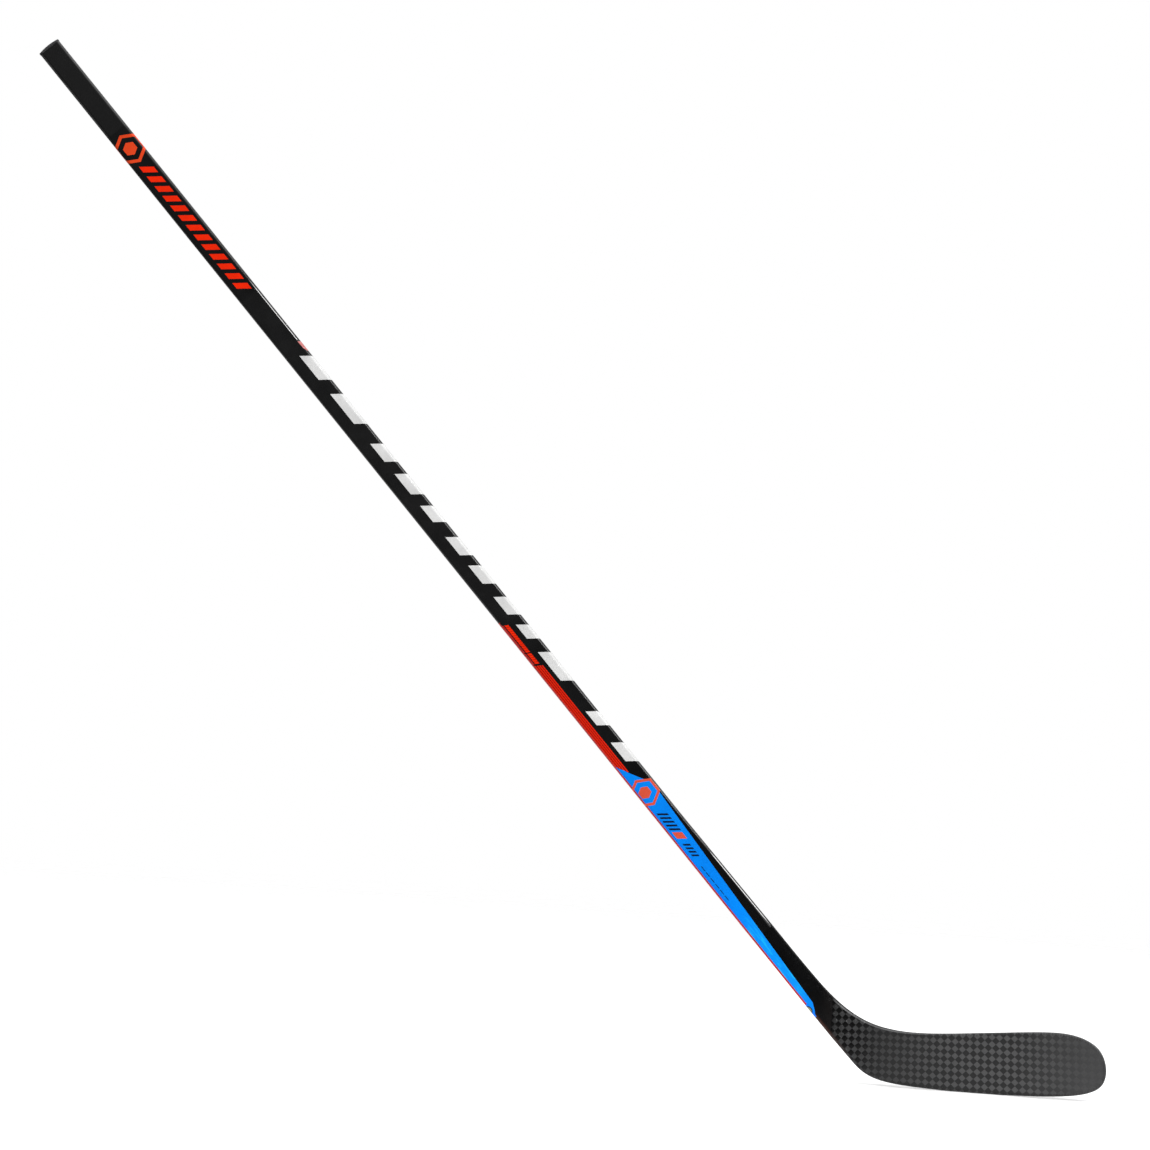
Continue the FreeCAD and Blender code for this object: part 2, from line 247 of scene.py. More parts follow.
# ------------------------------------------------------------------ materials
class Nodes:
    def __init__(self, name):
        self.m = bpy.data.materials.new(name)
        self.m.use_nodes = True
        self.t = self.m.node_tree
        self.b = self.t.nodes["Principled BSDF"]

    def new(self, kind, **vals):
        n = self.t.nodes.new(kind)
        for k, v in vals.items():
            setattr(n, k, v)
        return n

    def link(self, a, b):
        self.t.links.new(a, b)

    def put(self, sock, v):
        if isinstance(v, bpy.types.NodeSocket):
            self.link(v, sock)
        else:
            sock.default_value = v

    def math(self, op, a, b=0.0, c=0.0, clamp=False):
        n = self.new("ShaderNodeMath", operation=op, use_clamp=clamp)
        for i, v in enumerate((a, b, c)):
            self.put(n.inputs[i], v)
        return n.outputs[0]

    def smooth(self, v, lo, hi, a=0.0, b=1.0):
        n = self.new("ShaderNodeMapRange", interpolation_type="SMOOTHSTEP")
        for i, x in enumerate((v, lo, hi, a, b)):
            self.put(n.inputs[i], x)
        return n.outputs[0]

    def ramp(self, v, lo, hi, a=0.0, b=1.0):
        n = self.new("ShaderNodeMapRange", clamp=True)
        for i, x in enumerate((v, lo, hi, a, b)):
            self.put(n.inputs[i], x)
        return n.outputs[0]

    def mix(self, f, a, b):
        n = self.new("ShaderNodeMix", data_type="RGBA")
        self.put(n.inputs[0], f)
        for i, v in ((6, a), (7, b)):
            self.put(n.inputs[i], v if isinstance(v, bpy.types.NodeSocket) else (*v, 1.0))
        return n.outputs[2]

    def obj(self):
        return self.new("ShaderNodeTexCoord").outputs["Object"]

    def xyz(self, vec):
        n = self.new("ShaderNodeSeparateXYZ")
        self.link(vec, n.inputs[0])
        return n.outputs

    def along(self):
        """Distance down the shaft from the butt end in metres, and across it."""
        co = self.obj()
        res = []
        for d, k in ((U, LENGTH * MM + (H * MM).dot(U)), (N, None)):
            n = self.new("ShaderNodeVectorMath", operation="DOT_PRODUCT")
            self.link(co, n.inputs[0])
            n.inputs[1].default_value = d
            if k is not None:
                res.append(self.math("SUBTRACT", k, n.outputs["Value"]))
            else:
                res.append(self.math("SUBTRACT", n.outputs["Value"], (H * MM).dot(N) + SHAFT_W / 2 * MM))
        return res[0], res[1], co

    def noise(self, vec, scale, detail=2.0, rough=0.5, dist=0.0):
        n = self.new("ShaderNodeTexNoise")
        self.put(n.inputs["Vector"], vec)
        n.inputs["Scale"].default_value = scale
        n.inputs["Detail"].default_value = detail
        n.inputs["Roughness"].default_value = rough
        n.inputs["Distortion"].default_value = dist
        return n.outputs["Fac"]

    def bump(self, h, strength, dist):
        n = self.new("ShaderNodeBump")
        n.inputs["Strength"].default_value = strength
        n.inputs["Distance"].default_value = dist
        self.link(h, n.inputs["Height"])
        self.link(n.outputs[0], self.b.inputs["Normal"])
        return n

    def set(self, **vals):
        for k, v in vals.items():
            sock = self.b.inputs[k.replace("_", " ")]
            if isinstance(v, tuple) and len(v) == 3:
                v = (*v, 1.0)
            self.put(sock, v)
        return self


BLADE_GAIN = 0.735


def ramp_of(m, v, lo, hi, stops):
    """A grey curve over v from lo to hi, given as (place, value) stops."""
    pos = m.ramp(v, lo, hi)
    n = m.new("ShaderNodeValToRGB")
    m.link(pos, n.inputs[0])
    el = n.color_ramp.elements
    while len(el) > 1:
        el.remove(el[-1])
    for i, (x, g) in enumerate(stops):
        e = el[0] if i == 0 else el.new((x - lo) / (hi - lo))
        e.position = (x - lo) / (hi - lo)
        e.color = (g, g, g, 1.0)
    return n.outputs[0]


def lacquer(name, colour, rough=0.16, flake=0.0):
    """Gloss paint under a clear coat: faint orange peel, roughness worn uneven."""
    m = Nodes(name)
    co = m.obj()
    n1 = m.noise(co, 260.0, 3.0)
    n2 = m.noise(co, 38.0, 4.0, 0.6)
    dark = tuple(c * 0.86 for c in colour)
    m.set(Base_Color=m.mix(m.smooth(n2, 0.3, 0.7), dark, colour))
    m.set(Roughness=m.ramp(n1, 0.2, 0.8, rough, rough + 0.07))
    m.set(Coat_Weight=0.12, Coat_Roughness=0.06, Coat_IOR=1.45, Specular_IOR_Level=0.16)
    m.bump(n1, 0.05, 0.0004)
    return m.m


def shaft_paint():
    """Black shaft: soft matte at the grip, gloss lacquer over carbon below it."""
    m = Nodes("shaft_black")
    s, n, co = m.along()
    grip = m.smooth(s, 0.1235, 0.1285, 1.0, 0.0)
    grain = m.noise(co, 2600.0, 2.0, 0.6)
    peel = m.noise(co, 240.0, 3.0)
    wear = m.noise(co, 45.0, 5.0, 0.62)
    matte = m.mix(m.smooth(wear, 0.3, 0.75), (0.0034, 0.0034, 0.0035), (0.0050, 0.0050, 0.0051))
    gloss = m.mix(m.smooth(wear, 0.35, 0.75), (0.0068, 0.0068, 0.0070), (0.0098, 0.0098, 0.0100))
    mid = m.math("MULTIPLY", m.smooth(s, 0.366, 0.372), m.smooth(s, 0.83, 0.87, 1.0, 0.0))
    gloss = m.mix(mid, gloss, m.mix(m.smooth(wear, 0.35, 0.75), (0.0098, 0.0098, 0.0100), (0.0138, 0.0138, 0.0140)))
    low = m.smooth(s, 1.04, 1.075)
    gloss = m.mix(low, gloss, (0.0042, 0.0042, 0.0044))
    col = m.mix(grip, gloss, matte)
    # a pale band along the corners: partly the lacquer rubbed thin, partly a painted highlight where the rounded
    # corners catch the light, laid stronger or weaker along the shaft and on both edges at the grip
    rub_and_highlight = m.math("MULTIPLY", m.smooth(m.math("ABSOLUTE", n), 0.0106, 0.0122),
                 m.smooth(m.math("ABSOLUTE", n), 0.01305, 0.0134, 1.0, 0.0))
    rub_and_highlight = m.math("MULTIPLY", rub_and_highlight, m.smooth(m.noise(co, 30.0, 4.0, 0.6), 0.25, 0.7, 0.45, 1.0))
    ahead = ramp_of(m, s, 0.0, 1.32, [(0.0, 0.85), (0.120, 0.80), (0.130, 0.60), (0.330, 0.55), (0.350, 0.22), (0.440, 0.22),
                                      (0.460, 0.35), (1.050, 0.35), (1.080, 0.80), (1.310, 0.80)])
    behind = ramp_of(m, s, 0.0, 1.32, [(0.0, 0.75), (0.120, 0.70), (0.130, 0.15), (1.310, 0.15)])
    fore = m.smooth(n, -0.005, 0.005)
    rub_and_highlight = m.math("MULTIPLY", rub_and_highlight, m.math("ADD", m.math("MULTIPLY", fore, ahead),
                                         m.math("MULTIPLY", m.math("SUBTRACT", 1.0, fore), behind)))
    m.set(Base_Color=m.mix(rub_and_highlight, col, (0.095, 0.095, 0.095)))
    r_gloss = m.ramp(peel, 0.2, 0.8, 0.12, 0.17)
    r_matte = m.ramp(grain, 0.3, 0.7, 0.36, 0.46)
    rough = m.math("ADD", m.math("MULTIPLY", grip, r_matte),
                   m.math("MULTIPLY", m.math("SUBTRACT", 1.0, grip), r_gloss))
    m.set(Roughness=rough)
    h = m.math("ADD", m.math("MULTIPLY", m.math("MULTIPLY", grain, grip), 0.6),
               m.math("MULTIPLY", peel, 0.12))
    m.bump(h, 0.25, 0.0003)
    m.set(Specular_IOR_Level=0.22)
    return m.m


NODES["shaft_tube"].data.materials.clear()
NODES["shaft_tube"].data.materials.append(shaft_paint())


RED_RUN = (0.042, 0.0165, 0.0125)      # red edge paint worn thin over black


def hosel_paint():
    """Black lacquer that thins towards the bare cloth, so the plies under it show."""
    m = Nodes("hosel_black")
    s, n, co = m.along()
    x, y, z = m.xyz(co)
    peel = m.noise(co, 240.0, 3.0)
    wear = m.noise(co, 45.0, 5.0, 0.62)
    base = m.mix(m.smooth(wear, 0.35, 0.75), (0.0026, 0.0026, 0.0028), (0.0044, 0.0044, 0.0047))
    fade = m.smooth(x, -0.190, -0.172)
    ply = m.new("ShaderNodeTexWave", wave_type="BANDS", bands_direction="X")
    m.link(co, ply.inputs["Vector"])
    ply.inputs["Scale"].default_value = 300.0
    ply.inputs["Distortion"].default_value = 1.4
    ply.inputs["Detail"].default_value = 2.0
    line = m.math("MULTIPLY", m.math("MULTIPLY", ply.outputs["Fac"], fade), 0.7)
    col = m.mix(line, base, (0.012, 0.0098, 0.0092))
    # speckle of bare fibre at the front edge where the lacquer stops
    speck = m.smooth(m.noise(co, 900.0, 2.0, 0.7), 0.55, 0.72)
    near = m.math("MAXIMUM", m.smooth(x, -0.183, -0.172), m.math("MULTIPLY", m.smooth(s, 1.31, 1.36), 0.35))
    col = m.mix(m.math("MULTIPLY", m.math("MULTIPLY", speck, near),
                       m.smooth(n, 0.006, 0.013)), col, (0.055, 0.055, 0.055))
    red_run = m.math("MULTIPLY", m.smooth(n, -0.0115, -0.0085, 1.0, 0.0), m.smooth(s, 1.412, 1.424, 0.0, 0.9))
    red_run = m.math("MULTIPLY", red_run, m.smooth(wear, 0.30, 0.55, 0.7, 1.0))
    m.set(Base_Color=m.mix(red_run, col, RED_RUN))
    m.set(Roughness=m.ramp(peel, 0.2, 0.8, 0.10, 0.16), Specular_IOR_Level=0.22)
    m.bump(peel, 0.06, 0.0003)
    return m.m


# the top edge from the throat to mid blade: z in mm, and the cosine of its slope,
# as powers of (x + 0.11) / 0.06
THROAT_Z = (67.5831, -12.2239, 14.2887, -5.2388, 0.0216, 0.9189, -0.2793)
THROAT_COS = (0.9685, 0.1124, -0.0772, -0.0007)


def weave(name, band=False):
    """Carbon cloth laid on the skew under a satin coat: flat 6 mm tows with fibre lines.
    The cloth is pulled a little out of square round the heel. band: the braid on the edge."""
    m = Nodes(name)
    co = m.obj()
    x, y, z = m.xyz(co)
    s, n, _ = m.along()
    u = m.math("DIVIDE", x, 0.1)
    w = m.math("DIVIDE", m.math("SUBTRACT", z, 0.038), 0.01)
    u2 = m.math("MULTIPLY", u, u)
    wu = m.math("MULTIPLY", w, u)

    def poly(c0, c1, c2, c3, c4, c5):
        r = m.math("MULTIPLY_ADD", u, c1, c0)
        r = m.math("MULTIPLY_ADD", u2, c2, r)
        r = m.math("MULTIPLY_ADD", m.math("MULTIPLY", u2, u), c3, r)
        r = m.math("MULTIPLY_ADD", w, c4, r)
        r = m.math("MULTIPLY_ADD", wu, c5, r)
        return m.math("MULTIPLY", r, 0.001)

    wx = m.math("ADD", x, poly(5.146, 0.071, -2.041, 0.083, 0.64, 0.227))
    wz = m.math("ADD", z, poly(0.489, 0.502, 0.203, -0.295, 0.022, -0.22))
    wob = m.math("MULTIPLY", m.math("SUBTRACT", m.noise(co, 90.0, 2.0), 0.5), 0.0007)
    p = m.math("DIVIDE", m.math("ADD", wx, wob), 0.00858)
    q = m.math("DIVIDE", wz, 0.00828)
    a, b = m.math("ADD", p, q), m.math("SUBTRACT", p, q)
    sa = m.math("SINE", m.math("MULTIPLY", a, math.pi))
    sb = m.math("SINE", m.math("MULTIPLY", b, math.pi))
    f = m.math("MULTIPLY", sa, sb)
    light = m.smooth(f, -0.10, 0.11)
    gap = m.math("MINIMUM", m.math("ABSOLUTE", sa), m.math("ABSOLUTE", sb))
    seam = m.smooth(gap, 0.02, 0.30, 0.80, 1.0)
    # fibre lines along each tow
    lines = []
    for ka, kb in ((1.3, 24.0), (24.0, 1.3)):
        cb = m.new("ShaderNodeCombineXYZ")
        m.link(m.math("MULTIPLY", a, ka), cb.inputs[0])
        m.link(m.math("MULTIPLY", b, kb), cb.inputs[1])
        lines.append(m.noise(cb.outputs[0], 1.0, 2.0))
    fibre = m.math("ADD", m.math("MULTIPLY", lines[0], light),
                   m.math("MULTIPLY", lines[1], m.math("SUBTRACT", 1.0, light)))
    # painted light along the blade: the cloth is painted dark and crisp at the heel and a flat lighter grey at the toe,
    # where the curved face turns to catch a soft sheen
    sheen_level = ramp_of(m, x, -0.18, 0.16, [(-0.180, 0.004), (-0.1714, 0.008), (-0.1640, 0.021), (-0.140, 0.027), (-0.105, 0.036),
                                        (-0.060, 0.051), (-0.020, 0.059), (0.060, 0.063), (0.140, 0.066)])
    sheen_contrast = ramp_of(m, x, -0.18, 0.16, [(-0.180, 0.92), (-0.145, 0.90), (-0.122, 0.46), (-0.105, 0.36),
                                           (-0.075, 0.43), (-0.040, 0.54), (0.040, 0.55), (0.060, 0.42),
                                           (0.080, 0.30), (0.095, 0.21), (0.110, 0.12), (0.130, 0.05)])
    tone = m.math("MULTIPLY_ADD", m.math("MULTIPLY_ADD", light, 2.0, -1.0), sheen_contrast, 1.0)
    rough_end = m.smooth(x, -0.150, -0.095, 0.55, 0.16)
    shade = m.math("MULTIPLY_ADD", m.ramp(fibre, 0.3, 0.7, -1.0, 1.0), rough_end, 1.0)
    shade = m.math("MULTIPLY", shade, m.ramp(m.noise(co, 24.0, 3.0), 0.3, 0.7, 0.94, 1.05))
    # painted sheen: the seams between tows fade out towards the toe
    toe_sheen = m.smooth(x, 0.06, 0.125)
    seam = m.math("ADD", seam, m.math("MULTIPLY", m.math("SUBTRACT", 1.0, seam), toe_sheen))
    g = m.math("MULTIPLY", m.math("MULTIPLY", sheen_level, tone), m.math("MULTIPLY", shade, seam))
    g = m.math("MULTIPLY", g, BLADE_GAIN)
    # stray fibres glint in the dark cloth by the heel
    glint = m.math("MULTIPLY", m.smooth(m.noise(co, 620.0, 1.0, 0.4), 0.64, 0.74), m.smooth(x, -0.150, -0.105, 1.0, 0.15))
    g = m.math("ADD", g, m.math("MULTIPLY", m.math("MULTIPLY", glint, light), 0.05))
    if band:
        # fine braid ticks over the cloth's own pattern
        tick = m.new("ShaderNodeTexWave", wave_type="BANDS", bands_direction="X")
        m.link(co, tick.inputs["Vector"])
        tick.inputs["Scale"].default_value = 98.0
        tick.inputs["Distortion"].default_value = 0.6
        g = m.math("MULTIPLY", g, m.ramp(tick.outputs["Fac"], 0.0, 1.0, 0.70, 1.02))
        g = m.math("MULTIPLY", g, m.smooth(z, 0.003, 0.011, 0.68, 1.0))
    # a painted highlight along the shoulder of the top edge round the throat, where the rounded edge catches the light;
    # further along, a painted dark line at the very edge
    e = m.math("DIVIDE", m.math("ADD", x, 0.11), 0.06)
    edge_z, steep = THROAT_Z[-1], THROAT_COS[-1]
    for c in THROAT_Z[-2::-1]:
        edge_z = m.math("MULTIPLY_ADD", edge_z, e, c)
    for c in THROAT_COS[-2::-1]:
        steep = m.math("MULTIPLY_ADD", steep, e, c)
    deep = m.math("MULTIPLY", m.math("SUBTRACT", m.math("MULTIPLY", edge_z, 0.001), z), steep)
    place = ramp_of(m, x, -0.18, -0.04, [(-0.180, 0.25), (-0.158, 0.235), (-0.145, 0.215), (-0.126, 0.20), (-0.098, 0.155), (-0.070, 0.11), (-0.04, 0.09)])
    off = m.math("ABSOLUTE", m.math("SUBTRACT", deep, m.math("MULTIPLY", place, 0.01)))
    throat_highlight = m.math("MULTIPLY", m.smooth(off, 0.00040, 0.00100, 1.0, 0.0),
                    ramp_of(m, x, -0.18, -0.04, [(-0.180, 0.0), (-0.171, 0.15), (-0.165, 0.95), (-0.158, 1.0), (-0.145, 0.62), (-0.126, 0.52), (-0.100, 0.52), (-0.075, 0.35), (-0.045, 0.0)]))
    throat_highlight = m.math("MULTIPLY", throat_highlight, m.ramp(m.noise(co, 420.0, 2.0), 0.3, 0.7, 0.75, 1.15))
    # painted shade: a dark line at the very edge of the top, beyond the throat
    edge_shade = m.math("MULTIPLY", m.smooth(deep, 0.0006, 0.0018, 0.55, 0.0), m.smooth(x, -0.075, -0.04, 1.0, 0.0))
    g = m.math("MULTIPLY", g, m.math("SUBTRACT", 1.0, edge_shade))
    g = m.math("ADD", g, m.math("MULTIPLY", throat_highlight, 0.155))
    cc = m.new("ShaderNodeCombineXYZ")
    m.link(g, cc.inputs[0])
    m.link(g, cc.inputs[1])
    m.link(m.math("MULTIPLY", g, 1.015), cc.inputs[2])
    # a trace of the red edge paint runs on round the heel
    red_run = m.math("MULTIPLY", m.smooth(n, -0.0118, -0.0082, 1.0, 0.0), m.smooth(s, 1.430, 1.495, 0.85, 0.0))
    m.set(Base_Color=m.mix(red_run, cc.outputs[0], RED_RUN))
    if band:
        m.set(Roughness=m.ramp(fibre, 0.2, 0.8, 0.30, 0.42), Specular_IOR_Level=0.22)
        m.set(Coat_Weight=0.12, Coat_Roughness=0.15)
    else:
        m.set(Roughness=m.math("SUBTRACT", m.ramp(fibre, 0.2, 0.8, 0.36, 0.50),
                               m.math("MULTIPLY", m.math("SUBTRACT", 1.0, light), m.smooth(x, -0.135, -0.085, 0.18, 0.0))),
              Specular_IOR_Level=0.15)
        m.set(Coat_Weight=0.06, Coat_Roughness=0.20)
    crown = m.math("MULTIPLY_ADD", m.math("ABSOLUTE", f), 1.0, m.math("MULTIPLY", fibre, 0.25))
    m.bump(crown, 0.3, 0.0002)
    return m.m


def plain(name, a, b, scale, r0, r1, bump=0.2, dist=0.0003, detail=4.0):
    m = Nodes(name)
    co = m.obj()
    n1 = m.noise(co, scale, detail, 0.6)
    m.set(Base_Color=m.mix(m.smooth(n1, 0.3, 0.7), a, b), Roughness=m.ramp(n1, 0.2, 0.8, r0, r1))
    m.bump(n1, bump, dist)
    return m.m


def foam_mat(name, a, b):
    m = Nodes(name)
    co = m.obj()
    v = m.new("ShaderNodeTexVoronoi")
    m.link(co, v.inputs["Vector"])
    v.inputs["Scale"].default_value = 900.0
    n1 = m.noise(co, 60.0, 3.0)
    m.set(Base_Color=m.mix(m.smooth(v.outputs["Distance"], 0.0, 0.9), b, a), Roughness=0.9)
    m.bump(m.math("ADD", v.outputs["Distance"], m.math("MULTIPLY", n1, 0.3)), 0.6, 0.0004)
    return m.m


weave_m = weave("carbon_weave")
braid_m = weave("carbon_braid", band=True)
foam_m = foam_mat("rigid_foam", (0.72, 0.66, 0.50), (0.55, 0.50, 0.37))
dense_m = foam_mat("dense_core", (0.25, 0.22, 0.17), (0.16, 0.14, 0.11))
bare_m = plain("bare_laminate", (0.012, 0.012, 0.013), (0.030, 0.030, 0.032), 700.0, 0.4, 0.6)
glue_m = plain("cured_adhesive", (0.55, 0.48, 0.30), (0.66, 0.60, 0.42), 120.0, 0.3, 0.5)
cap_m = plain("cap_plastic", (0.0138, 0.0138, 0.0143), (0.023, 0.023, 0.024), 1500.0, 0.45, 0.6, 0.5, 0.0002)

for node, mat in (("hosel_shell", hosel_paint()), ("blade_face_forehand", weave_m),
                  ("blade_face_backhand", weave_m), ("blade_edge_band", braid_m),
                  ("butt_cap", cap_m), ("shaft_foam_plug", foam_m), ("tenon_core", foam_m),
                  ("hosel_core", foam_m), ("blade_core_upper", foam_m), ("blade_core_lower", foam_m),
                  ("heel_block", dense_m), ("blade_tenon", bare_m), ("blade_rib", bare_m),
                  ("tenon_bond", glue_m)):
    NODES[node].data.materials.clear()
    NODES[node].data.materials.append(mat)

# ------------------------------------------------------------------ printed graphics
red = lacquer("print_red", (0.97, 0.024, 0.002), 0.22)
orange = lacquer("print_orange", (0.86, 0.070, 0.016), 0.22)
white = lacquer("print_white", (0.80, 0.80, 0.795), 0.24)
side_red = lacquer("print_side_red", (0.50, 0.026, 0.024), 0.24)
# the tab's colour is red print made paler by a painted highlight where it wraps over the front corner
tab_red_and_highlight = lacquer("print_tab_red", (0.60, 0.185, 0.175), 0.24)
foil = lacquer("foil_sticker", (0.27, 0.265, 0.185), 0.30)


def blue_paint():
    """Blue print: deeper by the edge, with pale painted glints streaked along its lower length."""
    m = Nodes("print_blue")
    s, n, co = m.along()
    n1 = m.noise(co, 260.0, 3.0)
    n2 = m.noise(co, 38.0, 4.0, 0.6)
    base = m.mix(m.smooth(n2, 0.3, 0.7), (0.001, 0.215, 0.84), (0.001, 0.248, 0.93))
    base = m.mix(m.smooth(n, -0.0118, -0.0085, 0.7, 0.0), base, (0.002, 0.150, 0.80))
    # painted reflection: pale cyan glints streaked along the lower length of the blue
    cb = m.new("ShaderNodeCombineXYZ")
    m.link(m.math("MULTIPLY", s, 55.0), cb.inputs[0])
    m.link(m.math("MULTIPLY", n, 420.0), cb.inputs[1])
    glint_streak = m.smooth(m.noise(cb.outputs[0], 1.0, 3.0), 0.48, 0.66)
    glint_zone = m.math("MULTIPLY", m.smooth(s, 1.270, 1.315), m.smooth(s, 1.375, 1.405, 1.0, 0.0))
    base = m.mix(m.math("MULTIPLY", glint_zone, m.math("MULTIPLY_ADD", glint_streak, 0.65, 0.18)), base, (0.010, 0.46, 1.0))
    m.set(Base_Color=base, Roughness=m.ramp(n1, 0.2, 0.8, 0.20, 0.27))
    m.set(Coat_Weight=0.14, Coat_Roughness=0.06, Coat_IOR=1.45, Specular_IOR_Level=0.16)
    m.bump(n1, 0.05, 0.0004)
    return m.m


blue = blue_paint()
navy = lacquer("print_navy", (0.004, 0.012, 0.040), 0.22)
coral = lacquer("print_coral", (0.74, 0.095, 0.050), 0.22)


def ribbed_red():
    """Red panel printed in fine ribs along the shaft, broken into short dashes."""
    m = Nodes("print_red_ribs")
    s, n, co = m.along()
    row = m.math("DIVIDE", n, 0.0023)
    odd = m.math("MULTIPLY", m.math("FLOOR", row), 0.5)
    rib = m.math("SINE", m.math("MULTIPLY", row, 2 * math.pi))
    dash = m.math("SINE", m.math("MULTIPLY", m.math("ADD", m.math("DIVIDE", s, 0.0034), odd), 2 * math.pi))
    lines = m.smooth(m.math("ADD", rib, m.math("MULTIPLY", dash, 0.35)), -0.7, 0.5)
    n1 = m.noise(co, 260.0, 3.0)
    m.set(Base_Color=m.mix(lines, (0.26, 0.005, 0.002), (0.82, 0.020, 0.004)))
    m.set(Roughness=m.ramp(n1, 0.2, 0.8, 0.22, 0.3), Specular_IOR_Level=0.16)
    m.set(Coat_Weight=0.15, Coat_Roughness=0.06, Coat_IOR=1.45)
    m.bump(lines, 0.08, 0.0002)
    return m.m


panel_red = ribbed_red()
K = 0.77                      # slant of the printed ends: s gained per mm across
FLAT = SHAFT_W / 2 - SHAFT_R
ARC = SHAFT_R * math.pi / 2
SIDE = SHAFT_T - 2 * SHAFT_R


def wrap_v(w):
    """v of a place w mm from the centre line, measured over the skin of the full section."""
    a = abs(w)
    if a <= FLAT:
        v = a / FLAT
    elif a <= FLAT + ARC:
        v = 1 + (a - FLAT) / ARC
    elif a <= FLAT + ARC + SIDE:
        v = 2 + (a - FLAT - ARC) / SIDE
    elif a <= FLAT + 2 * ARC + SIDE:
        v = 3 + (a - FLAT - ARC - SIDE) / ARC
    else:
        v = 4 + (a - FLAT - 2 * ARC - SIDE) / FLAT
    return v if w >= 0 else -v


def loop_w(pts, step=2.0):
    """(s, w) points with w measured over the skin, as an (s, v) loop."""
    out = []
    for i in range(len(pts)):
        (s0, w0), (s1, w1) = pts[i], pts[(i + 1) % len(pts)]
        k = max(1, int(max(abs(s1 - s0) / 25.0, abs(w1 - w0) / step)))
        for j in range(k):
            out.append((s0 + (s1 - s0) * j / k, wrap_v(w0 + (w1 - w0) * j / k)))
    return out


def bar(s0, s1, n0, n1, k=K):
    """A slanted bar on the broad face: ends at s0 and s1 where n = n0."""
    return [loop_n([(s0, n0), (s1, n0), (s1 + k * (n1 - n0), n1), (s0 + k * (n1 - n0), n1)])]


def hexa(s, n, r):
    return loop_w([(s + r * math.cos(math.pi / 3 * i), n + r * math.sin(math.pi / 3 * i)) for i in range(6)])


MID = FLAT + ARC + SIDE / 2            # half way over the narrow side
FULL = 2 * MID


def block(s0, s1, w0=1.6):
    """A white block from w0 over the front narrow side and as far down the other face."""
    d = K * (MID - w0)
    return [loop_w([(s0, w0), (s1, w0), (s1 + d, MID), (s1, FULL - w0), (s0, FULL - w0), (s0 + d, MID)])]


WHITE = [(458.7, 494.0), (515.0, 559.0), (588.5, 615.0), (633.0, 663.0), (680.0, 704.0),
         (726.3, 753.0), (768.2, 795.0), (814.5, 840.5), (855.5, 876.0), (896.0, 938.0),
         (983.5, 1004.0), (1029.5, 1057.0)]
film("white_blocks", [block(a, b) for a, b in WHITE], white, "shaft_carbon")

# red tab over the front corner; its paler colour is a painted highlight on the red print
TAB = 10.3
film("red_tab", [[loop_w([(444.2, TAB), (455.0, TAB + 0.5), (459.5, TAB + 2.6), (464.0, MID), (459.5, FULL - TAB - 2.6),
                          (455.0, FULL - TAB - 0.5), (444.2, FULL - TAB), (451.5, MID)])]],
     tab_red_and_highlight, "shaft_carbon")

# the back narrow side is red beside the lower panels; it shows as a pinstripe
EDGE_N = -11.7


def side_loop(s0, s1, ds, over=0.0):
    """Round the back edge from one broad face to the other; over is how far it laps the blue panel."""
    at = [s0 + (s1 - s0) * i / ds for i in range(ds + 1)]
    there = [(s, v_of(s, EDGE_N + (over if s > 1054 else 0.0))) for s in at]
    return there + [(s, -5.0 - v if v > -5 else v) for s, v in reversed(there)]


film("red_side", [[side_loop(842.0, 1150.0, 12, 0.45)]], side_red, "shaft_carbon", lift=0.095)
film("red_side_low", [[side_loop(1150.0, 1405.0, 60, 0.45)]], side_red, "hosel_carbon", lift=0.095)
film("blue_side_end", [[side_loop(1405.4, 1423.5, 5)]], blue, "hosel_carbon")
film("foil_dot", [[disc(1412.2, -15.9, 4.9, 40)]], foil, "hosel_carbon", lift=0.12)
film("foil_rim", [[disc(1412.2, -15.9, 5.9, 40), disc(1412.2, -15.9, 4.9, 40)]], navy, "hosel_carbon", lift=0.12)

